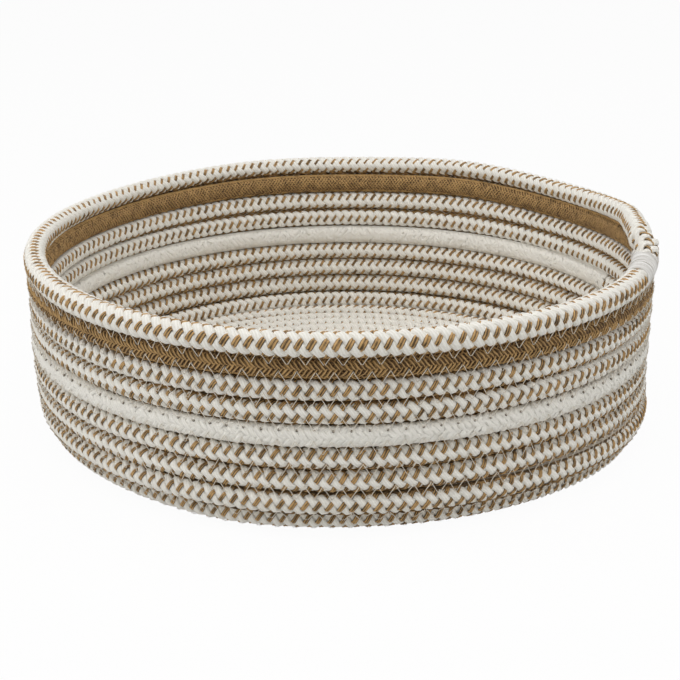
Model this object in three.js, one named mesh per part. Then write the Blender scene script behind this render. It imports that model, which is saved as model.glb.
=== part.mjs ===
// Paper rope basket: braided cord laid in one clockwise winding, from the middle of the base out to
// the corner and up the wall, with every course sewn to the next by a zigzag lockstitch.
// Millimetres, +Z up. The origin is the middle of the underside, on the surface it stands on.
import * as THREE from "three";

// Driving dimensions: the cord and how closely its courses lie
const cordDiameter = 9.5;
const courseGap = 0.5;
const stepsPerLoop = 24;

// Driving dimensions: the meridian that the middle of the cord follows
const wallFootRadius = 143.6;
const cornerRadius = 15;
const wallRun = 74.7;
const wallLeanDegrees = 1;
const soleCut = 0.95;

// Driving dimensions: where one cord ends and the next begins
const joinGap = 0.3;
const whiteJoinLead = 1;
const rimTailSteps = 1;

// Driving dimensions: the two seam threads and the tack over the end of the rim
const stitchDepth = 1.2;
const stitchThickness = 1;
const stitchClearance = 0.3;
const tackThickness = 0.9;
const tackClearance = 0.3;
const tackLength = 15;

const halfCord = cordDiameter / 2;
const coursePitch = cordDiameter + courseGap;
const wallLean = THREE.MathUtils.degToRad(wallLeanDegrees);

// Meridian: a flat base, a round corner and a wall that leans out a little
const baseLevel = halfCord - soleCut;
const cornerTurn = Math.PI / 2 - wallLean;
const baseRun = wallFootRadius - cornerRadius * Math.sin(cornerTurn);
const cornerRun = cornerRadius * cornerTurn;
const wallFootLevel = baseLevel + cornerRadius * (1 - Math.cos(cornerTurn));
const rimEndRun = baseRun + cornerRun + wallRun;

// The radius, height and climb of the meridian at a distance along it from the axis
function meridian(run) {
  if (run <= baseRun) return { radius: run, level: baseLevel, climb: 0 };
  if (run <= baseRun + cornerRun) {
    const climb = (run - baseRun) / cornerRadius;
    const radius = baseRun + cornerRadius * Math.sin(climb);
    const level = baseLevel + cornerRadius * (1 - Math.cos(climb));
    return { radius, level, climb };
  }
  const up = run - baseRun - cornerRun;
  const radius = wallFootRadius + up * Math.sin(wallLean);
  return { radius, level: wallFootLevel + up * Math.cos(wallLean), climb: cornerTurn };
}

// Winding: place is counted in steps from the line where the cords join, on the side of +X, and is
// below zero before the end of the rim. The line lies half a step from the corners of the winding,
// so each cord's end is the middle of a straight stretch and square to it.
const stepAngle = (2 * Math.PI) / stepsPerLoop;
const stepRun = coursePitch / stepsPerLoop;
const cornerShift = 0.5;

// A section given in (along, out) from the meridian, set at one corner of the winding
function ringAtCorner(corner, section, seam) {
  const { radius, level, climb } = meridian(rimEndRun + corner * stepRun + seam * coursePitch);
  const angle = -corner * stepAngle;
  return section.map(([along, out]) => {
    const reach = radius + along * Math.cos(climb) + out * Math.sin(climb);
    const height = level + along * Math.sin(climb) - out * Math.cos(climb);
    return new THREE.Vector3(reach * Math.cos(angle), reach * Math.sin(angle), height);
  });
}

// The same section anywhere between two corners of the winding, on its straight stretch
function ringAt(place, section, seam = 0) {
  const low = Math.floor(place - cornerShift) + cornerShift;
  const share = place - low;
  const first = ringAtCorner(low, section, seam);
  if (share < 1e-9) return first;
  const second = ringAtCorner(low + 1, section, seam);
  return first.map((point, i) => point.lerp(second[i], share));
}

// The places of a stretch of the winding: its two ends and every corner between them
function placesBetween(start, end) {
  const places = [start];
  for (let corner = Math.floor(start - cornerShift) + 1 + cornerShift; corner < end; corner += 1) {
    places.push(corner);
  }
  places.push(end);
  return places;
}

// One closed tube through rings of points, with a flat cap on each end
function closedTube(rings, capTriangles) {
  const sides = rings[0].length;
  const last = (rings.length - 1) * sides;
  const indices = [];
  for (let first = 0; first < last; first += sides) {
    for (let j = 0; j < sides; j += 1) {
      const a = first + j;
      const b = first + ((j + 1) % sides);
      indices.push(a, a + sides, b, b, a + sides, b + sides);
    }
  }
  for (const [a, b, c] of capTriangles) {
    indices.push(a, b, c);
    indices.push(last + a, last + c, last + b);
  }
  const positions = rings.flat().flatMap((point) => point.toArray());
  const geometry = new THREE.BufferGeometry();
  geometry.setAttribute("position", new THREE.Float32BufferAttribute(positions, 3));
  geometry.setIndex(indices);
  geometry.computeVertexNormals();
  return geometry;
}

// Caps of a section with a point that sees all the others
function fan(count) {
  return Array.from({ length: count - 2 }, (_, i) => [0, i + 1, i + 2]);
}

// Cord: six sides, with corners towards the neighbouring courses and flats to the inside and outside
const flatHalf = halfCord / 2;
const cordSection = [
  [halfCord, 0],
  [flatHalf, halfCord],
  [-flatHalf, halfCord],
  [-halfCord, 0],
  [-flatHalf, -halfCord],
  [flatHalf, -halfCord],
];

// The outer corners of a cord that would reach below the sole slide up its sides to the sole
function cutAtSole(ring) {
  const sides = [
    [1, 0],
    [2, 3],
  ];
  for (const [corner, side] of sides) {
    const drop = -ring[corner].z;
    if (drop > 0) ring[corner].lerp(ring[side], drop / (ring[side].z + drop)).setZ(0);
  }
  return ring;
}

function cordRings(start, end) {
  return placesBetween(start, end).map((place) => cutAtSole(ringAt(place, cordSection)));
}

const stepLength = 2 * (wallFootRadius * Math.sin(stepAngle / 2));
const halfJoin = joinGap / 2 / stepLength;
const windingStart = Math.ceil((coursePitch / 2 - rimEndRun) / stepRun) + cornerShift;

// Cords from the rim down: the courses that each makes, and how many steps before the join line it ends
const cords = [
  { name: "rim_cord", courses: 1, lead: -rimTailSteps, colour: "#d3cabb" },
  { name: "tan_band_cord", courses: 1, lead: 0, colour: "#93714a" },
  { name: "upper_wall_cord", courses: 2, lead: 0, colour: "#d3cabb" },
  { name: "white_band_cord", courses: 1, lead: whiteJoinLead, colour: "#dedbd4" },
  { name: "base_and_wall_cord", courses: Infinity, lead: whiteJoinLead, colour: "#d3cabb" },
];

let joinPlace = 0;
for (const [i, cord] of cords.entries()) {
  cord.end = joinPlace - cord.lead;
  joinPlace -= cord.courses * stepsPerLoop;
  const next = cords[i + 1];
  cord.start = next ? joinPlace - next.lead + halfJoin : windingStart;
  if (i > 0) cord.end -= halfJoin;
}

// The least gap between each loop of a cord and the next one, on points around their sections
const pointsPerSide = 4;
const gapSection = cordSection.flatMap(([along, out], i) => {
  const [nextAlong, nextOut] = cordSection[(i + 1) % cordSection.length];
  return Array.from({ length: pointsPerSide }, (_, j) => {
    const share = j / pointsPerSide;
    return [along + (nextAlong - along) * share, out + (nextOut - out) * share];
  });
});

function leastGap(start, end) {
  let least = Infinity;
  for (let place = start; place + stepsPerLoop <= end; place += cornerShift) {
    const lower = ringAt(place, gapSection);
    const upper = ringAt(place + stepsPerLoop, gapSection);
    for (const a of lower) {
      for (const b of upper) least = Math.min(least, a.distanceTo(b));
    }
  }
  return least;
}

const basket = new THREE.Group();

function addPiece(name, geometry, colour, roughness) {
  const material = new THREE.MeshStandardMaterial({ color: colour, roughness, metalness: 0 });
  const mesh = new THREE.Mesh(geometry, material);
  mesh.name = name;
  basket.add(mesh);
}

const cordRoughness = 0.9;
for (const { name, start, end, colour } of cords) {
  const gap = leastGap(start, end);
  if (gap < Infinity) console.log(`${name}: least gap to itself ${gap.toFixed(2)} mm`);
  addPiece(name, closedTube(cordRings(start, end), fan(cordSection.length)), colour, cordRoughness);
}

// Seam threads: the zigzag of each thread as a flat band in the groove between two courses of the wall.
// The needle's thread is outside and the bobbin's is inside.
const grooveSlope = (halfCord - flatHalf) / halfCord;
const slantFactor = Math.hypot(1, grooveSlope);
const bandOut = halfCord - stitchDepth;
const bandHalfWidth = courseGap / 2 + bandOut * grooveSlope - stitchClearance * slantFactor;
const needleSection = [
  [bandHalfWidth, bandOut],
  [-bandHalfWidth, bandOut],
  [0, bandOut - stitchThickness],
];
const bobbinSection = needleSection.map(([along, out]) => [along, -out]).reverse();

const seamEnd = rimTailSteps - stepsPerLoop - 2 * halfJoin;
const seamStart = Math.ceil(-wallRun / stepRun) + cornerShift;
const seamMiddle = 0.5;
const threadRoughness = 0.7;
const threadColour = "#e4dfd4";
const threads = [
  ["needle_thread", needleSection],
  ["bobbin_thread", bobbinSection],
];
for (const [name, section] of threads) {
  const rings = placesBetween(seamStart, seamEnd).map((place) => ringAt(place, section, seamMiddle));
  addPiece(name, closedTube(rings, fan(section.length)), threadColour, threadRoughness);
}

// Rim tack: close satin stitches as a saddle over the start of the rim, where the rim's tail ends
function saddleSection(offset) {
  const shoulder = flatHalf + offset * (slantFactor - grooveSlope);
  const face = halfCord + offset;
  return [
    [-flatHalf, -face],
    [shoulder, -face],
    [halfCord + offset * slantFactor, 0],
    [shoulder, face],
    [-flatHalf, face],
  ];
}

const saddleInner = saddleSection(tackClearance);
const saddleOuter = saddleSection(tackClearance + tackThickness);
const tackSection = [...saddleOuter, ...saddleInner.reverse()];
const tackCaps = [];
for (let i = 0; i + 1 < saddleOuter.length; i += 1) {
  const under = tackSection.length - 1 - i;
  tackCaps.push([i, i + 1, under], [i + 1, under - 1, under]);
}
const tackStart = rimTailSteps - stepsPerLoop + tackClearance / stepLength;
const tackRings = placesBetween(tackStart, tackStart + tackLength / stepLength).map((place) =>
  ringAt(place, tackSection),
);
addPiece("rim_end_tack", closedTube(tackRings, tackCaps), threadColour, threadRoughness);

export default basket;
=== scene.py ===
# Paper rope basket: braided cord, wound and sewn, seen from the front and a little above.
import math

import bpy
import numpy as np
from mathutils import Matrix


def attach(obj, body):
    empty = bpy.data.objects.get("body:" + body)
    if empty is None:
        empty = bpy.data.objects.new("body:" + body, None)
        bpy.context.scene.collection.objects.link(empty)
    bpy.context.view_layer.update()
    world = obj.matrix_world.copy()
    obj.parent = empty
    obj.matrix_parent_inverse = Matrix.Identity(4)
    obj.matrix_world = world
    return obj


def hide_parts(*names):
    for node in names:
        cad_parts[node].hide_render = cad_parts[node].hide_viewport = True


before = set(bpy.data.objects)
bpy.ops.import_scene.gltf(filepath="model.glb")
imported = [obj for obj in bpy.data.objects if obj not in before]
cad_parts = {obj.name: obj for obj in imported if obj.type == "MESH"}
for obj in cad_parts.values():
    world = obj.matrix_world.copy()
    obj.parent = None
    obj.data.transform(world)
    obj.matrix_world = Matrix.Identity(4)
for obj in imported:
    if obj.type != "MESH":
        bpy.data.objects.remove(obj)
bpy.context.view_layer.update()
bpy.ops.object.select_all(action="DESELECT")


# Base: a mixed cord, four bulky white cotton strands braided with four thin strands of tan paper
# over a soft filling. It starts in the middle and is wound flat, clockwise, each course sewn to the
# one before it. Sizes are in millimetres, and add_piece turns them to metres.
course_pitch = 10.0
wall_foot_radius = 143.6
corner_radius = 15.0
wall_run = 74.7
wall_lean = math.radians(1.0)
base_level = 3.8
corner_turn = math.pi / 2 - wall_lean
base_run = wall_foot_radius - corner_radius * math.sin(corner_turn)
corner_run = corner_radius * corner_turn
rim_end_run = base_run + corner_run + wall_run


def meridian(run):
    """Radius, height and slope of the basket's profile, by the distance along it from the middle."""
    slope = np.clip((run - base_run) / corner_radius, 0.0, corner_turn)
    up = np.maximum(run - base_run - corner_run, 0.0)
    radius = np.minimum(run, base_run) + corner_radius * np.sin(slope) + up * math.sin(wall_lean)
    height = base_level + corner_radius * (1.0 - np.cos(slope)) + up * math.cos(wall_lean)
    return radius, height, slope


def ease(value, start, end):
    """0 before start, 1 after end, and a smooth way between them."""
    share = np.clip((value - start) / (end - start), 0.0, 1.0)
    return share * share * (3.0 - 2.0 * share)


# The basket is soft: its courses lie level across the front, its rim waves, and its wall swells.
# A wave is a place round the basket in degrees, its reach and its rise.
# A bulge is a place, its reach, the height of its middle, how tall it is and how far it stands out.
front_level = 3.2
level_from, level_full = 4.0, 24.0
upper_from, upper_full = 45.0, 95.0
rim_waves = [(62.0, 14.0, 1.2), (110.0, 14.0, 0.5), (150.0, 26.0, -1.6), (30.0, 20.0, -2.0)]
rim_level, rim_tilt = 0.1, 0.7
flare_place, flare_reach, left_flare = 202.0, 32.0, 0.9
overhang_place, overhang_reach, rim_overhang = -90.0, 55.0, 1.8
wall_bulges = [
    (-25.0, 28.0, 9.0, 9.0, 4.2),
    (-108.0, 14.0, 6.0, 9.0, 2.4),
    (185.0, 30.0, 45.0, 14.0, 1.2),
]

# A place along the winding is in turns past the rim's end: the rim's own course runs from -1 to 0.
# Its tail goes on a little, bends in and drops on the start of the rim.
rim_start = -1.0
course_change = 0.02
rim_tail_turns = 1.0 / 24.0
rim_tail_drop, drop_from = 8.0, 0.4 * rim_tail_turns
rim_inward, inward_from, inward_full = 3.3, -0.032, 0.004
outward_from, outward_full = 0.023, 0.029
start_bulge, start_bulge_place, start_bulge_reach = -0.7, -0.95, 0.025


def past(turns, place):
    """0 before a place along the winding and 1 after it, with a short smooth change."""
    return ease(turns, place - course_change, place + course_change)


def near(angle, place, reach):
    """1 at a place round the basket, in degrees, falling to 0 on both sides of it."""
    apart = (angle - math.radians(place) + math.pi) % (2.0 * math.pi) - math.pi
    return np.exp(-((apart / math.radians(reach)) ** 2))


def winding(turns):
    """Middle of the cord, and its ways out of the basket, on to the next course and ahead."""
    radius, height, slope = meridian(rim_end_run + course_pitch * turns)
    angle = -2.0 * math.pi * turns
    front_half = (1.0 - np.sin(angle)) / 2.0
    off_floor = ease(height, level_from, level_full)
    upper = ease(height, upper_from, upper_full)
    on_rim = past(turns, rim_start)
    radius = radius + left_flare * upper * near(angle, flare_place, flare_reach)
    radius = radius + rim_overhang * on_rim * near(angle, overhang_place, overhang_reach)
    from_bulge = (turns - start_bulge_place) / start_bulge_reach
    radius = radius + start_bulge * np.exp(-(from_bulge**2))
    tucked_in = ease(turns, inward_from, inward_full) - ease(turns, outward_from, outward_full)
    radius = radius - rim_inward * tucked_in
    for place, reach, level, tall, amount in wall_bulges:
        at_level = np.exp(-(((height - level) / tall) ** 2))
        radius = radius + amount * near(angle, place, reach) * at_level
    height = height + front_level * off_floor * front_half**2 * np.cos(angle)
    for place, reach, rise in rim_waves:
        height = height + rise * upper * near(angle, place, reach)
    top_courses = (on_rim + past(turns, rim_start - 1.0)) / 2.0
    height = height + (rim_level + rim_tilt * np.sin(angle)) * top_courses
    height = height - rim_tail_drop * ease(turns, drop_from, rim_tail_turns)
    away = np.stack([np.cos(angle), np.sin(angle), np.zeros_like(angle)], axis=-1)
    ahead = np.stack([np.sin(angle), -np.cos(angle), np.zeros_like(angle)], axis=-1)
    upright = np.array([0.0, 0.0, 1.0])
    out = away * np.sin(slope)[:, None] - upright * np.cos(slope)[:, None]
    onward = away * np.cos(slope)[:, None] + upright * np.sin(slope)[:, None]
    return away * radius[:, None] + upright * height[:, None], out, onward, ahead


start_radius = 1.0
first_turn = (start_radius - rim_end_run) / course_pitch
mark_count = 30000
turn_marks = np.linspace(first_turn, rim_tail_turns, mark_count)
mark_steps = np.linalg.norm(np.diff(winding(turn_marks)[0], axis=0), axis=1)
length_marks = np.concatenate([[0.0], np.cumsum(mark_steps)])


def length_at(turns):
    """Distance along the cord from its start to a place along the winding."""
    return np.interp(turns, turn_marks, length_marks)


def turns_at(length):
    """Place along the winding, by the distance along the cord from its start."""
    return np.interp(length, length_marks, turn_marks)


def round_section(sides):
    """A round section of radius 1 with some sides."""
    angle = 2.0 * math.pi * np.arange(sides) / sides
    return np.stack([np.cos(angle), np.sin(angle)], axis=-1)


def tube(middle, out, half_width, half_height, section):
    """Rings of points round a line, from a section whose height stands to the way out."""
    ahead = np.gradient(middle, axis=0)
    ahead /= np.linalg.norm(ahead, axis=1)[:, None]
    side = np.cross(ahead, out)
    side /= np.linalg.norm(side, axis=1)[:, None]
    top = np.cross(side, ahead)
    across = section[None, :, :1] * np.reshape(half_width, (-1, 1, 1))
    raised = section[None, :, 1:] * np.reshape(half_height, (-1, 1, 1))
    return middle[:, None, :] + side[:, None, :] * across + top[:, None, :] * raised


# Standing on the floor squeezes the cord: what would lie from floor_press below the floor to
# floor_reach above it is pressed in between the floor and floor_reach.
floor_press = 1.4
floor_reach = 1.6


def add_piece(name, tubes, materials):
    """One mesh of closed tubes, each given as its rings, their distances and its material's number."""
    points, corners, starts, material_numbers, uvs = [], [], [], [], []
    point_count = 0
    corner_count = 0
    for rings, distances, material_number in tubes:
        count, sides = rings.shape[:2]
        ring = np.arange(count - 1)[:, None] * sides
        side = np.arange(sides)[None, :]
        after = (side + 1) % sides
        quads = [ring + side, ring + after, ring + sides + after, ring + sides + side]
        quads = np.stack(quads, axis=-1)
        first_cap = np.arange(sides)[::-1]
        last_cap = np.arange(sides) + (count - 1) * sides
        corners.append(np.concatenate([quads.ravel(), first_cap, last_cap]) + point_count)
        quad_total = quads.size // 4
        starts.append(corner_count + 4 * np.arange(quad_total))
        starts.append(corner_count + quads.size + np.array([0, sides]))
        material_numbers.append(np.full(quad_total + 2, material_number))
        low = np.broadcast_to(distances[:-1, None], (count - 1, sides))
        high = np.broadcast_to(distances[1:, None], (count - 1, sides))
        left = np.broadcast_to(side / sides, (count - 1, sides))
        right = np.broadcast_to((side + 1) / sides, (count - 1, sides))
        along = np.stack([low, low, high, high], axis=-1).ravel()
        around = np.stack([left, right, right, left], axis=-1).ravel()
        uvs.append(np.stack([along, around], axis=-1))
        uvs.append(np.zeros((2 * sides, 2)))
        points.append(rings.reshape(-1, 3))
        point_count += count * sides
        corner_count += quads.size + 2 * sides
    points = np.concatenate(points)
    height = points[:, 2]
    pressed = (height + floor_press) * floor_reach / (floor_reach + floor_press)
    points[:, 2] = np.where(height < floor_reach, np.maximum(pressed, 0.0), height)
    mesh = bpy.data.meshes.new(name)
    mesh.vertices.add(point_count)
    mesh.vertices.foreach_set("co", (points / 1000.0).ravel())
    mesh.loops.add(corner_count)
    mesh.loops.foreach_set("vertex_index", np.concatenate(corners))
    starts = np.concatenate(starts)
    mesh.polygons.add(len(starts))
    mesh.polygons.foreach_set("loop_start", starts)
    for material in materials:
        mesh.materials.append(material)
    mesh.polygons.foreach_set("material_index", np.concatenate(material_numbers))
    mesh.uv_layers.new(name="strand").data.foreach_set("uv", np.concatenate(uvs).ravel())
    mesh.update(calc_edges=True)
    mesh.shade_smooth()
    piece = bpy.data.objects.new(name, mesh)
    bpy.context.scene.collection.objects.link(piece)
    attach(piece, "root")
    return piece


def linear(hex_colour):
    """An sRGB hex colour as the linear RGBA that a shader takes."""
    channels = [int(hex_colour[i:i + 2], 16) / 255.0 for i in (1, 3, 5)]
    bright = [c / 12.92 if c <= 0.04045 else ((c + 0.055) / 1.055) ** 2.4 for c in channels]
    return (*bright, 1.0)


def add_node(tree, kind, settings, links=(), tones=()):
    """Adds a node, sets it and links (socket, source) pairs into it. A ramp has (place, hex) tones."""
    added = tree.nodes.new(kind)
    for key, value in settings.items():
        if isinstance(key, str) and hasattr(added, key):
            setattr(added, key, value)
        else:
            added.inputs[key].default_value = value
    for socket, source in links:
        tree.links.new(source, added.inputs[socket])
    for number, (place, hex_colour) in enumerate(tones):
        added.color_ramp.elements[number].position = place
        added.color_ramp.elements[number].color = linear(hex_colour)
    return added


def new_material(name):
    """An empty node material and its node tree."""
    material = bpy.data.materials.new(name)
    material.use_nodes = True
    tree = material.node_tree
    tree.nodes.clear()
    return material, tree


# White cotton yarn, spun soft and laid side by side in a strand. The eye gets a dull, slightly warm
# white with fine lines along the strand. The low ground between the yarns is painted shade, a little
# grey. The yarns wander nine times in 20 mm. Real fibres are too fine to show, so they are drawn
# coarser, eleven to 5 mm.
yarns_round_strand = 9.0
yarn_turn_per_mm = 0.35
yarn_wander_length, yarn_wander_turn = 20.0 / 9.0, 2.5
yarn_relief = 0.22
cotton_fibre_spacing = 5.0 / 11.0
cotton_bump_depth = 0.3
cotton_white, tree = new_material("braided white cotton")
strand_map = add_node(tree, "ShaderNodeUVMap", {"uv_map": "strand"})
coordinates = add_node(tree, "ShaderNodeTexCoord", {})
wander = add_node(tree, "ShaderNodeTexNoise", {"Scale": 1000.0 / yarn_wander_length, "Detail": 2.0},
                  [("Vector", coordinates.outputs["Object"])])
split = add_node(tree, "ShaderNodeSeparateXYZ", {}, [("Vector", strand_map.outputs["UV"])])
yarn_round = add_node(tree, "ShaderNodeMath",
                      {"operation": "MULTIPLY", 1: yarns_round_strand * 2.0 * math.pi},
                      [(0, split.outputs["Y"])])
yarn_twist = add_node(tree, "ShaderNodeMath", {"operation": "MULTIPLY_ADD", 1: yarn_turn_per_mm},
                      [(0, split.outputs["X"]), (2, yarn_round.outputs[0])])
yarn_wander = add_node(tree, "ShaderNodeMath", {"operation": "MULTIPLY_ADD", 1: yarn_wander_turn},
                       [(0, wander.outputs["Fac"]), (2, yarn_twist.outputs[0])])
yarn_line = add_node(tree, "ShaderNodeMath", {"operation": "SINE"}, [(0, yarn_wander.outputs[0])])
fibre = add_node(tree, "ShaderNodeTexNoise", {"Scale": 1000.0 / cotton_fibre_spacing, "Detail": 3.0},
                 [("Vector", coordinates.outputs["Object"])])
yarn_height = add_node(tree, "ShaderNodeMath", {"operation": "MULTIPLY_ADD", 1: yarn_relief},
                       [(0, yarn_line.outputs[0]), (2, fibre.outputs["Fac"])])
# Painted shade: the ramp turns the low ground between the yarns grey. The fibre noise is the cotton's
# own uneven tone.
cotton_tone_and_yarn_shade = add_node(tree, "ShaderNodeValToRGB", {}, [("Fac", yarn_height.outputs[0])],
                       [(0.1, "#e9e5da"), (0.75, "#fbf8f1")])
cotton_bump = add_node(tree, "ShaderNodeBump",
                       {"Strength": 0.6, "Distance": cotton_bump_depth / 1000.0},
                       [("Height", yarn_height.outputs[0])])
cotton_shader = add_node(tree, "ShaderNodeBsdfPrincipled", {"Roughness": 0.9, "Sheen Weight": 0.15},
                         [("Base Color", cotton_tone_and_yarn_shade.outputs["Color"]),
                          ("Normal", cotton_bump.outputs["Normal"])])
add_node(tree, "ShaderNodeOutputMaterial", {}, [("Surface", cotton_shader.outputs["BSDF"])])

# Tan paper, twisted and folded to a flat ribbon. The eye gets a brown straw colour with long fibres,
# lighter and darker by turns, and patches of both tones, thirteen to 50 mm. The darker groove and edges
# round the ribbon, and its lighter ridges, are painted shade and painted light.
paper_fibre_length, paper_fibres_round = 4.0, 14.0
paper_patch_length = 50.0 / 13.0
shade_waves_round, groove_shade = 2.5, 0.14
paper_bump_depth = 0.3
paper_dark_at, paper_light_at = 0.355, 0.625


def twisted_paper(name, dark, light, patchiness):
    """A tan paper between two colours, with patches that count for a share of its tone."""
    material, tree = new_material(name)
    strand_map = add_node(tree, "ShaderNodeUVMap", {"uv_map": "strand"})
    coordinates = add_node(tree, "ShaderNodeTexCoord", {})
    drawn_out = add_node(tree, "ShaderNodeMapping",
                         {"Scale": (1.0 / paper_fibre_length, paper_fibres_round, 1.0)},
                         [("Vector", strand_map.outputs["UV"])])
    fibre = add_node(tree, "ShaderNodeTexNoise", {"Scale": 1.0, "Detail": 4.0, "Roughness": 0.7},
                     [("Vector", drawn_out.outputs["Vector"])])
    patch = add_node(tree, "ShaderNodeTexNoise", {"Scale": 1000.0 / paper_patch_length, "Detail": 2.0},
                     [("Vector", coordinates.outputs["Object"])])
    mixed_tone = add_node(tree, "ShaderNodeMath", {"operation": "MULTIPLY_ADD", 1: patchiness},
                          [(0, patch.outputs["Fac"]), (2, fibre.outputs["Fac"])])
    split = add_node(tree, "ShaderNodeSeparateXYZ", {}, [("Vector", strand_map.outputs["UV"])])
    around = add_node(tree, "ShaderNodeMath",
                      {"operation": "MULTIPLY", 1: shade_waves_round * 2.0 * math.pi},
                      [(0, split.outputs["Y"])])
    # Painted shade and light: darker in the ribbon's groove and at its edges, lighter on its ridges.
    groove = add_node(tree, "ShaderNodeMath", {"operation": "COSINE"}, [(0, around.outputs[0])])
    shaded_ribbon_tone = add_node(tree, "ShaderNodeMath", {"operation": "MULTIPLY_ADD", 1: -groove_shade},
                            [(0, groove.outputs[0]), (2, mixed_tone.outputs[0])])
    tone = add_node(tree, "ShaderNodeValToRGB", {}, [("Fac", shaded_ribbon_tone.outputs[0])],
                    [(paper_dark_at + patchiness / 2, dark), (paper_light_at + patchiness / 2, light)])
    bump = add_node(tree, "ShaderNodeBump", {"Strength": 0.7, "Distance": paper_bump_depth / 1000.0},
                    [("Height", fibre.outputs["Fac"])])
    shader = add_node(tree, "ShaderNodeBsdfPrincipled", {"Roughness": 0.7},
                      [("Base Color", tone.outputs["Color"]), ("Normal", bump.outputs["Normal"])])
    add_node(tree, "ShaderNodeOutputMaterial", {}, [("Surface", shader.outputs["BSDF"])])
    return material


paper_tan = twisted_paper("twisted tan paper", "#4a371c", "#c9a26b", 0.75)

# The braid repeats every 4.85 mm of cord. There the white strands lie on top, stand out and narrow,
# and the tan ones dip. Half way between, the tan ones lie on top. Towards the inside of the basket,
# white strands are wider and tan ones narrower. A strand is longer than its cord by its take-up.
strands_of_each = 4
strand_step = 2.0 * math.pi / strands_of_each
strand_spacing = 4.85
white_radius, white_sway = 3.35, 0.5
white_half_width, white_spread, inside_spread = 1.95, 0.4, 0.16
white_half_height, white_swell = 1.15, 0.08
white_take_up, tan_take_up = 1.45, 1.6
tan_radius, tan_dip, tan_dip_reach = 4.25, 1.7, 0.9
tan_half_width, tan_half_height, tan_swell = 0.95, 0.45, 0.15
tan_fullness_power, inside_narrowing = 1.4, 0.1
tan_lean = math.radians(3.0)
folded_ribbon = np.array([(1.0, 0.0), (0.0, 1.0), (-1.0, 0.0)])
swell_lengths, swell_shifts = (17.0, 41.0), (2.3, 1.7)

# The cord is squarish where its neighbours press it, and round and fuller at the rim, which is free.
# On top of the rim the tan strands lie deeper.
press_onward = 0.965
squareness, roundness = 3.0, 2.0
rim_top_sink, rim_top_lay = 0.25, math.radians(105.0)
rim_extra, rim_front_extra = 0.11, 0.14
rim_end_extra, rim_end_from, rim_end_full = 0.08, -0.15, -0.03
tail_closing, tail_closing_length = 0.45, 10.0

# The filling only closes the view between the strands: tan paper towards the outside of the basket, and
# white cotton towards the inside. A section is points across the cord and out of it.
# Partly painted shade: the filling is real, but its tan brown towards the outside also stands in for
# the shade deep in the seams between courses.
filling = np.array([(5.45, 0.3), (3.4, 1.2), (1.8, 3.0), (-1.8, 3.0),
                    (-3.4, 1.2), (-5.45, 0.3), (-3.0, -1.5), (3.0, -1.5)])
lining = np.array([(5.03, -2.0), (5.03, -1.3), (-5.03, -1.3), (-5.03, -2.0), (-1.5, -3.0), (1.5, -3.0)])

# How the braid happens to lie: the angle in degrees from the cord's outward side, up, to a row of tan
# flecks, at the front right, front, front left and back of each course from the edge of the base up.
# The two bands have no flecks, and their rows only carry the turn of the braid past them.
fleck_places = (0.125, 0.25, 0.375, 0.75)
fleck_rows = {
    -11: (68, 68, 68, 68),
    -10: (50, 50, 48, 65),
    -9: (60, 57, 50, 18),
    -8: (-38, 2, -52, -48),
    -7: (58, 35, -38, -45),
    -6: (42, 42, 20, 45),
    -5: (67, 67, 67, 67),
    -4: (14, -22, -30, 3),
    -3: (32, 4, 0, -36),
    -2: (-23, -23, -23, -23),
}
rim_places = (0.125, 0.25, 0.375, 0.44, 0.5, 0.54, 0.58, 0.68, 0.75, 0.82, 0.9, 0.945, 0.985)
rim_rows = (15, 20, 14, -2, 4, 22, 36, 50, 48, 36, 22, -2, -15)
rows_apart = 360.0 / strands_of_each
fleck_turns = [course + place for course in fleck_rows for place in fleck_places]
fleck_turns += [rim_start + place for place in rim_places]
fleck_angles = [*np.ravel(list(fleck_rows.values())), *rim_rows]
fleck_angles = np.unwrap(fleck_angles, period=rows_apart)


def braid_turn(lengths):
    """How far the braid is turned about the cord's own middle."""
    return np.radians(np.interp(turns_at(lengths), fleck_turns, fleck_angles) - rows_apart / 2)


def unevenness(lengths, number):
    """A slow swell and thinning of one strand, from -1 to 1."""
    slow, slower = [np.sin(lengths / length + shift * number)
                    for length, shift in zip(swell_lengths, swell_shifts)]
    return slow * slower


def fullness(lengths):
    """How full the cord is: the rim is free to swell, and its cut end closes."""
    turns = turns_at(lengths)
    swell = rim_extra + rim_front_extra * np.sin(2.0 * math.pi * turns)
    swollen = 1.0 + swell * past(turns, rim_start)
    swollen = swollen + rim_end_extra * ease(turns, rim_end_from, rim_end_full)
    cord_end = length_marks[-1]
    return swollen - tail_closing * ease(lengths, cord_end - tail_closing_length, cord_end)


def strand(lengths, lay, radius):
    """Middle of one strand, and its way out of the cord, by its turn about the cord's middle."""
    turns = turns_at(lengths)
    middle, out, onward, _ = winding(turns)
    power = squareness + (roundness - squareness) * past(turns, rim_start)
    reach = (np.abs(np.cos(lay)) ** power + np.abs(np.sin(lay)) ** power) ** (-1.0 / power)
    way = out * np.cos(lay)[:, None] + onward * (press_onward * np.sin(lay))[:, None]
    return middle + way * (radius * reach * fullness(lengths))[:, None], way


def marks_between(start, end, spacing):
    """Distances along the winding between two places of it, on whole steps and at both ends."""
    low, high = length_at(start), length_at(end)
    # A step nearer to an end than a quarter of the spacing is left out.
    least_step = 0.25
    first = math.ceil(low / spacing + least_step)
    last = math.floor(high / spacing - least_step)
    return np.concatenate([[low], np.arange(first, last + 1) * spacing, [high]])


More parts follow.
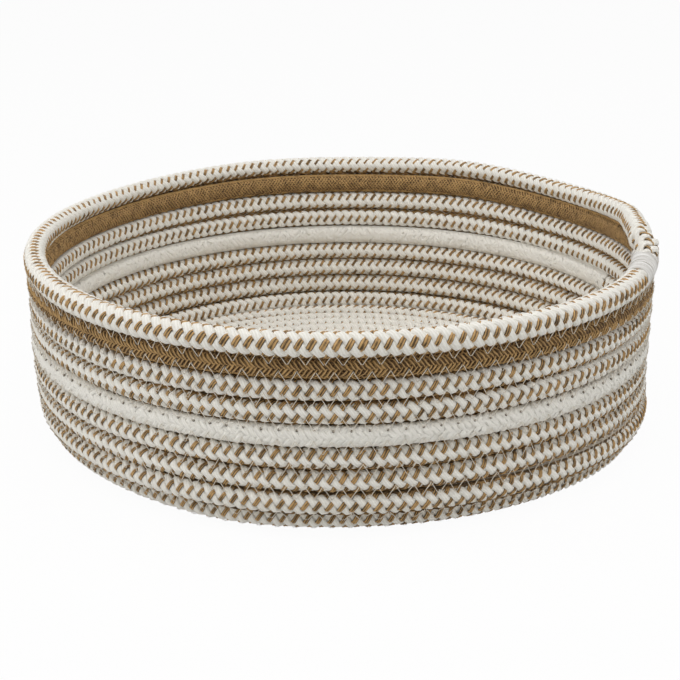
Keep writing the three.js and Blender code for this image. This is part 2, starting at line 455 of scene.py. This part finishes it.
def mixed_cord(name, start, end, detail, sink, fillings):
    """A stretch of the mixed cord between two places of the winding, in turns."""
    rings_to_spacing, white_sides, ribbon = detail
    tubes = []
    lengths = marks_between(start, end, strand_spacing / rings_to_spacing)
    full = fullness(lengths)
    turned = braid_turn(lengths)
    share = lengths / strand_spacing
    wave = np.cos(2.0 * math.pi * share)
    from_crossing = (share - np.round(share)) * strand_spacing
    dip = tan_dip * np.exp(-(from_crossing / tan_dip_reach) ** 2)
    for number in range(strands_of_each):
        lay = strand_step * (number + share) + turned
        swell = white_swell * unevenness(lengths, number)
        middle, way = strand(lengths, lay, white_radius + white_sway * wave + swell)
        inside = 1.0 + inside_spread * np.maximum(-np.cos(lay), 0.0)
        half_width = (white_half_width - white_spread * wave + swell) * full * inside
        rings = tube(middle, way, half_width, white_half_height * full, round_section(white_sides))
        tubes.append((rings, lengths * white_take_up, 0))
        lean = tan_lean * np.sin(2.0 * math.pi * share)
        lay = strand_step * (number - share) + lean + turned
        swell = tan_swell * unevenness(lengths, number + strands_of_each)
        on_top = np.maximum(np.cos(lay - rim_top_lay), 0.0) * past(turns_at(lengths), rim_start)
        radius = tan_radius - sink - rim_top_sink * on_top - dip + swell / 2
        middle, way = strand(lengths, lay, radius)
        inside = 1.0 - inside_narrowing + inside_narrowing * np.cos(lay)
        half_width = (tan_half_width + swell) * full**tan_fullness_power * inside
        rings = tube(middle, way, half_width, tan_half_height, ribbon)
        tubes.append((rings, lengths * tan_take_up, 1))
    lengths = marks_between(start, end, strand_spacing / 2)
    middle, out, _, _ = winding(turns_at(lengths))
    for section, material_number in fillings:
        tubes.append((tube(middle, out, 1.0, 1.0, section), lengths, material_number))
    piece = add_piece(name, tubes, [cotton_white, paper_tan])
    return piece


# A cord's detail is its rings to a strand spacing, the sides of a white strand and the section of a tan
# one. The base is seen from further off than the wall, so it has less of each, and its tan strands lie
# deeper, by its sink.
base_detail = (4, 5, folded_ribbon)
base_sink = 0.42
lined_filling = [(filling, 1), (lining, 0)]
base_ends = [first_turn, -14.0, -12.0, -10.0]
for number, (start, end) in enumerate(zip(base_ends, base_ends[1:]), 1):
    piece = mixed_cord(f"base_cord_{number}", start, end, base_detail, base_sink, lined_filling)
    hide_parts("base_and_wall_cord")

# The start of the cord is tucked down in the middle of the base.
tuck_reach = 2.6
tuck_angle = math.radians(60.0) - 2.0 * math.pi * first_turn
tuck_heights = np.array([0.6, 1.6, 3.0, 5.0, 6.8, 7.8])
tuck_widths = np.array([2.4, 3.3, 3.7, 3.7, 3.2, 2.0])
tuck_place = [tuck_reach * math.cos(tuck_angle), tuck_reach * math.sin(tuck_angle), 0.0]
tuck_line = np.outer(np.ones(tuck_heights.size), tuck_place)
tuck_line[:, 2] = tuck_heights
tuck = tube(tuck_line, np.array([1.0, 0.0, 0.0]), tuck_widths, tuck_widths, round_section(12))
piece = add_piece("base_cord_start", [(tuck, tuck_heights, 0)], [cotton_white])
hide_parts("base_and_wall_cord")


# Lower wall: the same length of mixed cord, which goes on from the base without a cut, round the
# corner and up the wall to the white band. Each course is sewn to the one below it, and the cord's
# end is butted to the white band's at the right.
paper_ribbon = np.array([(1.0, 0.0), (0.55, 1.0), (0.0, 0.3), (-0.55, 1.0), (-1.0, 0.0)])
wall_detail = (6, 6, paper_ribbon)
core = np.array([(3.2, -1.2), (-3.2, -1.2), (-2.2, -3.0), (2.2, -3.0)])
wall_filling = [(filling, 1), (core, 0)]
corner_sink = 0.3
join_shift = 1.0 / 24.0
white_start = -5.0 - join_shift
lower_wall_ends = [base_ends[-1], -9.0, -8.0, -7.0, -6.0, white_start]
for number, (start, end) in enumerate(zip(lower_wall_ends, lower_wall_ends[1:]), 1):
    sink = corner_sink if number == 1 else 0.0
    piece = mixed_cord(f"lower_wall_course_{number}", start, end, wall_detail, sink, wall_filling)
    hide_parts("base_and_wall_cord")


# White band: one course of plain white cord, braided finer from soft cotton yarns that wind both ways
# round it. It is butted to the mixed cord at both ends and sewn like the other courses.
white_middle = -4.5
white_end = -4.0 - join_shift
fine_lead, fine_rings, fine_filling_rings = 23.0, 26, 8
fine_radius = 4.1
fine_take_up = 1.5
# A yarn goes over and under four times in a turn round the cord, and less far towards the inside.
waves_round, wave_flatness = 4.0, 1.5
inside_calm = 0.45
lay_fluff = 0.3
thinnest_yarn, thickest_yarn = 0.82, 1.12
chance = np.random.default_rng(7)


def fine_cord(name, start, end, yarns, half_width, half_height, sway, fluff, section, material):
    """A course braided from yarns that wind both ways and pass over each other in rows round it."""
    lengths = marks_between(start, end, fine_lead / fine_rings)
    tubes = []
    for number in range(2 * yarns):
        hand = 1.0 if number % 2 else -1.0
        turned = 2.0 * math.pi * (number // 2 / yarns + hand * lengths / fine_lead)
        wave = np.clip(wave_flatness * np.cos(waves_round * turned), -1.0, 1.0)
        lay = turned + braid_turn(lengths) + lay_fluff * fluff * chance.normal(size=lengths.size)
        calm = 1.0 - inside_calm + inside_calm * np.cos(lay)
        over = hand * sway * calm * wave
        radius = fine_radius + over + fluff * chance.normal(size=lengths.size)
        middle, way = strand(lengths, lay, radius)
        yarn_half_width = half_width * chance.uniform(thinnest_yarn, thickest_yarn)
        rings = tube(middle, way, yarn_half_width, half_height, section)
        tubes.append((rings, lengths * fine_take_up, 0))
    lengths = marks_between(start, end, fine_lead / fine_filling_rings)
    middle, out, _, _ = winding(turns_at(lengths))
    for inner_section, material_number in lined_filling:
        tubes.append((tube(middle, out, 1.0, 1.0, inner_section), lengths, material_number))
    piece = add_piece(name, tubes, [material, paper_tan])
    return piece


for number, (start, end) in enumerate([(white_start, white_middle), (white_middle, white_end)], 1):
    piece = fine_cord(f"white_band_{number}", start, end, yarns=8, half_width=1.4, half_height=0.55,
                      sway=0.18, fluff=0.22, section=round_section(6), material=cotton_white)
    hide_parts("white_band_cord")


# Needle holes: the needle of the seam above pierces the soft white cord at each lower turn of its
# zigzag, and the thread pulls a small dimple there. The shade in each dimple is painted: short dark
# plugs stand in for it.
stitch_length = 7.1
wall_seam_start = -8.6
hole_lay, hole_half_width = math.radians(41.0), 0.55
hole_inner, hole_outer = 3.9, 4.85

# Painted shade of a hole: the cotton round it lies in shade, painted as a dull grey brown, a little
# mottled.
hole_shade_mottle = 0.6
painted_hole_shade, tree = new_material("cotton in the shade of a needle hole")
coordinates = add_node(tree, "ShaderNodeTexCoord", {})
hole_shade_noise = add_node(tree, "ShaderNodeTexNoise", {"Scale": 1000.0 / hole_shade_mottle, "Detail": 2.0},
                         [("Vector", coordinates.outputs["Object"])])
painted_hole_shade_tone = add_node(tree, "ShaderNodeValToRGB", {}, [("Fac", hole_shade_noise.outputs["Fac"])],
                        [(0.3, "#685f52"), (0.7, "#8a8172")])
painted_hole_shade_shader = add_node(tree, "ShaderNodeBsdfPrincipled", {"Roughness": 1.0},
                          [("Base Color", painted_hole_shade_tone.outputs["Color"])])
add_node(tree, "ShaderNodeOutputMaterial", {}, [("Surface", painted_hole_shade_shader.outputs["BSDF"])])

first_hole = length_at(wall_seam_start) + stitch_length / 2
hole_lengths = np.arange(first_hole, length_at(white_end), stitch_length)
hole_lengths = hole_lengths[hole_lengths > length_at(white_start)]
hole_lays = np.full(hole_lengths.shape, hole_lay)
inner_ends, _ = strand(hole_lengths, hole_lays, hole_inner)
outer_ends, _ = strand(hole_lengths, hole_lays, hole_outer)
_, _, _, hole_ahead = winding(turns_at(hole_lengths))
tubes = []
# Each plug is painted shade, a dark thing standing where a dimple only lies in shade.
for inner, outer, ahead in zip(inner_ends, outer_ends, hole_ahead):
    hole = tube(np.array([inner, outer]), ahead, hole_half_width, hole_half_width, round_section(6))
    tubes.append((hole, np.array([hole_inner, hole_outer]), 0))
piece = add_piece("white_band_needle_hole_shade", tubes, [painted_hole_shade])


# Upper wall: two more courses of the mixed cord, in one length, wound on above the white band.
# They are sewn like those below, and butted to the white band and to the tan band at the right.
tan_start = -2.0 + join_shift
upper_wall_ends = [white_end, -3.0, tan_start]
for number, (start, end) in enumerate(zip(upper_wall_ends, upper_wall_ends[1:]), 1):
    piece = mixed_cord(f"upper_wall_course_{number}", start, end, wall_detail, 0.0, wall_filling)
    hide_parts("upper_wall_cord")


# Tan band: one course of cord braided from tan paper yarns alone, more and thinner ones than in the
# white band. It is butted to the mixed cord at both ends and sewn like the other courses.
tan_middle = -1.5
band_paper = twisted_paper("braided tan paper", "#4b3215", "#c09a62", 0.4)
for number, (start, end) in enumerate([(tan_start, tan_middle), (tan_middle, rim_start)], 1):
    piece = fine_cord(f"tan_band_{number}", start, end, yarns=12, half_width=0.72, half_height=0.5,
                      sway=0.5, fluff=0.12, section=round_section(4), material=band_paper)
    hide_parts("tan_band_cord")


# Rim: the last course, of the mixed cord again. No course lies on it, so it is rounder and fuller than
# those below. Its tail is laid over its own start at the right and sewn down there.
# Its filling is larger too, and cut back at the top, where no course would hide it.
rim_filling_growth = 1.2
rim_filling_low, rim_filling_high = (-6.6, -3.0), (2.5, 3.0)
rim_filling = np.clip(rim_filling_growth * filling, rim_filling_low, rim_filling_high)
rim = mixed_cord("rim", rim_start, rim_tail_turns, wall_detail, 0.0, [(rim_filling, 1)])
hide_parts("rim_cord")


# Sewing thread: a zigzag lockstitch of fine white polyester across each seam, sewn by machine. The
# needle's thread shows outside and under the base, and the bobbin's inside, deep in the groove.
thread_radius = 0.18
rim_seam_drop = 0.3
lift_from, lift_full = 1.0, 3.6

# Three plies of polyester, twisted. The eye gets a pale line whose tone changes along it.
thread_tone_length, thread_plies = 2.5, 3.0
thread_white, tree = new_material("white polyester thread")
strand_map = add_node(tree, "ShaderNodeUVMap", {"uv_map": "strand"})
along_thread = add_node(tree, "ShaderNodeMapping",
                        {"Scale": (1.0 / thread_tone_length, thread_plies, 1.0)},
                        [("Vector", strand_map.outputs["UV"])])
thread_noise = add_node(tree, "ShaderNodeTexNoise", {"Scale": 1.0, "Detail": 1.0},
                        [("Vector", along_thread.outputs["Vector"])])
thread_tone = add_node(tree, "ShaderNodeValToRGB", {}, [("Fac", thread_noise.outputs["Fac"])],
                       [(0.3, "#d6cdbc"), (0.7, "#f0e9dc")])
thread_shader = add_node(tree, "ShaderNodeBsdfPrincipled", {"Roughness": 0.5},
                         [("Base Color", thread_tone.outputs["Color"])])
add_node(tree, "ShaderNodeOutputMaterial", {}, [("Surface", thread_shader.outputs["BSDF"])])


def zigzag(start, end, face, rise, reach, level, lift, dive):
    """A run of zigzag stitches along a seam, outside for a face of 1 and inside for -1."""
    low, high = length_at(start), length_at(end)
    leg_length = stitch_length / 2
    legs = int((high - low) / leg_length)
    leg_shares = np.array([0.0, 0.1, 0.5, 0.9])
    shares = (np.arange(legs)[:, None] + leg_shares[None, :]).ravel()
    signs = np.where(np.arange(legs) % 2, -1.0, 1.0)
    across = rise + (signs[:, None] * reach * (1.0 - 2.0 * leg_shares[None, :])).ravel()
    raised = level + lift * ease(across, lift_from, lift_full)
    raised[::leg_shares.size] -= dive
    lengths = low + shares * leg_length
    turns = turns_at(lengths)
    lower, out, _, _ = winding(turns)
    upper, upper_out, _, _ = winding(turns + 1.0)
    middle = (lower + upper) / 2
    over = (upper - lower) / np.linalg.norm(upper - lower, axis=1)[:, None]
    out = out + upper_out
    out = out - over * np.sum(out * over, axis=1)[:, None]
    out /= np.linalg.norm(out, axis=1)[:, None]
    across = across - rim_seam_drop * past(turns, rim_start - 1.0)
    points = middle + over * across[:, None] + out * (face * raised)[:, None]
    return tube(points, out, thread_radius, thread_radius, round_section(3)), lengths, 0


# Rise and reach are up the seam from its middle, and level is out of it. Lift is added to the level on
# the upper cord, and dive is how far the thread goes in at each turn of the zigzag.
seam_end = rim_start + rim_tail_turns
needle_side = {"face": 1.0, "rise": 1.2, "reach": 3.1, "level": 4.7, "lift": 0.55, "dive": 1.0}
bobbin_side = {"face": -1.0, "rise": 0.0, "reach": 0.8, "level": 0.6, "lift": 0.0, "dive": 0.3}
for name, node, side in [
    ("needle_thread_wall", "needle_thread", needle_side),
    ("bobbin_thread_wall", "bobbin_thread", bobbin_side),
]:
    piece = add_piece(name, [zigzag(wall_seam_start, seam_end, **side)], [thread_white])
    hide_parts(node)
for name, side in [("needle_thread_base", needle_side), ("bobbin_thread_base", bobbin_side)]:
    piece = add_piece(name, [zigzag(first_turn, wall_seam_start, **side)], [thread_white])


# Rim tack: close satin stitches of the same thread, sewn by machine over the start of the rim, where
# its tail ends. They are a little ragged at both edges and stand higher over the tail. A wave of the
# ragged edges is its degrees and its rate.
tack_start = rim_start + 0.024
tack_length = 40.0
tack_spacing = 0.75
tack_thread = 0.42
tack_radius, tack_swell = 4.65, 0.7
tack_from, tack_to, tack_points = -40.0, 215.0, 19
tack_ragged = [(12.0, 2.9), (8.0, 1.3)]
tack_sway = 0.25
tack_unevenness, tack_unevenness_rate = 0.22, 4.1

# The same thread laid close, where its sheen makes it look whiter than single stitches on the cord.
# Its tone changes seven times in 100 mm of thread.
satin_tone_length, satin_stitch_shift = 100.0 / 7.0, 37.0
satin_white, tree = new_material("white polyester satin stitch")
strand_map = add_node(tree, "ShaderNodeUVMap", {"uv_map": "strand"})
per_stitch = add_node(tree, "ShaderNodeMapping", {"Scale": (1.0 / satin_tone_length, 0.0, 1.0)},
                      [("Vector", strand_map.outputs["UV"])])
stitch_noise = add_node(tree, "ShaderNodeTexNoise", {"Scale": 1.0, "Detail": 1.0},
                        [("Vector", per_stitch.outputs["Vector"])])
stitch_tone = add_node(tree, "ShaderNodeValToRGB", {}, [("Fac", stitch_noise.outputs["Fac"])],
                       [(0.3, "#b9b4ab"), (0.6, "#f3f1ee")])
satin_shader = add_node(tree, "ShaderNodeBsdfPrincipled", {"Roughness": 0.45},
                        [("Base Color", stitch_tone.outputs["Color"])])
add_node(tree, "ShaderNodeOutputMaterial", {}, [("Surface", satin_shader.outputs["BSDF"])])

tack_low = length_at(tack_start)
tubes = []
for length in np.arange(tack_low, tack_low + tack_length, tack_spacing):
    share = (length - tack_low) / tack_length
    ragged = sum(amount * math.sin(length * rate) for amount, rate in tack_ragged)
    lay = np.radians(np.linspace(tack_from + ragged, tack_to + ragged, tack_points))
    lengths = length + tack_sway * np.sin(2.0 * lay + length)
    uneven = tack_unevenness * math.sin(length * tack_unevenness_rate)
    radius = tack_radius + tack_swell * (1.0 - share) ** 2 + uneven
    middle, way = strand(lengths, lay, radius)
    along = lay * radius + satin_stitch_shift * len(tubes)
    tubes.append((tube(middle, way, tack_thread, tack_thread, round_section(5)), along, 0))
tack = add_piece("rim_tack", tubes, [satin_white])
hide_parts("rim_end_tack")


# Floor: a plain sheet of pale paper that the basket stands on, wider than the view. It isn't part of
# the object, and it only carries the shadow. Its width is in metres.
floor_width = 6.0
floor_glow = 0.96
bpy.ops.mesh.primitive_plane_add(size=floor_width, location=(0.0, 0.0, 0.0))
floor = bpy.context.object
floor.name = "floor"


def seen_directly(tree):
    """1 for a ray from the camera, a gloss or something clear, and 0 for one that carries light."""
    path = add_node(tree, "ShaderNodeLightPath", {})
    seen = add_node(tree, "ShaderNodeMath", {"operation": "MAXIMUM"},
                    [(0, path.outputs["Is Camera Ray"]), (1, path.outputs["Is Glossy Ray"])])
    seen_through = add_node(tree, "ShaderNodeMath", {"operation": "MAXIMUM"},
                            [(0, seen.outputs[0]), (1, path.outputs["Is Transmission Ray"])])
    return seen_through.outputs[0]


# White paper, lit from all sides. The eye gets white, with a faint shadow where the basket stands.
floor_white, tree = new_material("white paper sweep")
glow_share = add_node(tree, "ShaderNodeMath", {"operation": "MULTIPLY", 1: floor_glow},
                      [(0, seen_directly(tree))])
paper = add_node(tree, "ShaderNodeBsdfDiffuse", {"Color": linear("#e8e8e6")})
glow = add_node(tree, "ShaderNodeEmission", {"Color": linear("#ffffff"), "Strength": 1.0})
floor_mix = add_node(tree, "ShaderNodeMixShader", {},
                     [(0, glow_share.outputs[0]), (1, paper.outputs[0]), (2, glow.outputs[0])])
add_node(tree, "ShaderNodeOutputMaterial", {}, [("Surface", floor_mix.outputs[0])])
floor.data.materials.append(floor_white)


# Light: a white room that fills every side a little, and soft boxes in front, above and on both
# sides. The left one is stronger than the right one, so the right of the wall is a little darker.
# A soft box is its name, its place and width in metres, and its power in watts.
room_fill = 0.232
soft_boxes = [
    ("soft_box_front", (0.0, -0.7, 1.15), 0.9, 4.75),
    ("soft_box_above", (0.0, 0.0, 1.3), 1.2, 5.75),
    ("soft_box_left", (-1.2, -0.3, 0.7), 0.9, 5.6),
    ("soft_box_right", (1.2, -0.3, 0.7), 0.9, 3.25),
]
room = bpy.data.worlds.new("white room")
room.use_nodes = True
tree = room.node_tree
tree.nodes.clear()
fill = add_node(tree, "ShaderNodeBackground", {"Color": linear("#ffffff"), "Strength": room_fill})
backdrop = add_node(tree, "ShaderNodeBackground", {"Color": linear("#ffffff"), "Strength": 1.0})
room_mix = add_node(tree, "ShaderNodeMixShader", {},
                    [(0, seen_directly(tree)), (1, fill.outputs[0]), (2, backdrop.outputs[0])])
add_node(tree, "ShaderNodeOutputWorld", {}, [("Surface", room_mix.outputs[0])])
bpy.context.scene.world = room

for name, place, width, power in soft_boxes:
    bpy.ops.object.light_add(type="AREA", location=place)
    lamp = bpy.context.object
    lamp.name = name
    lamp.data.size = width
    lamp.data.energy = power
    lamp.rotation_euler = (-lamp.location).to_track_quat("-Z", "Y").to_euler()


# Camera: a little above the rim, in front of the basket, and close enough for the front to look larger
# than the back. Its distances are in metres, and its lens and sensor in millimetres.
camera_distance = 0.7157
camera_rise = math.radians(19.49)
camera_aim = 0.0351
camera_aside = -0.0007
bpy.ops.object.camera_add(
    location=(
        camera_aside,
        -camera_distance * math.cos(camera_rise),
        camera_aim + camera_distance * math.sin(camera_rise),
    ),
    rotation=(math.pi / 2 - camera_rise, 0.0, 0.0),
)
camera = bpy.context.object
camera.data.sensor_width = 36.0
camera.data.lens = 76.2
bpy.context.scene.camera = camera
bpy.context.scene.view_settings.view_transform = "Standard"
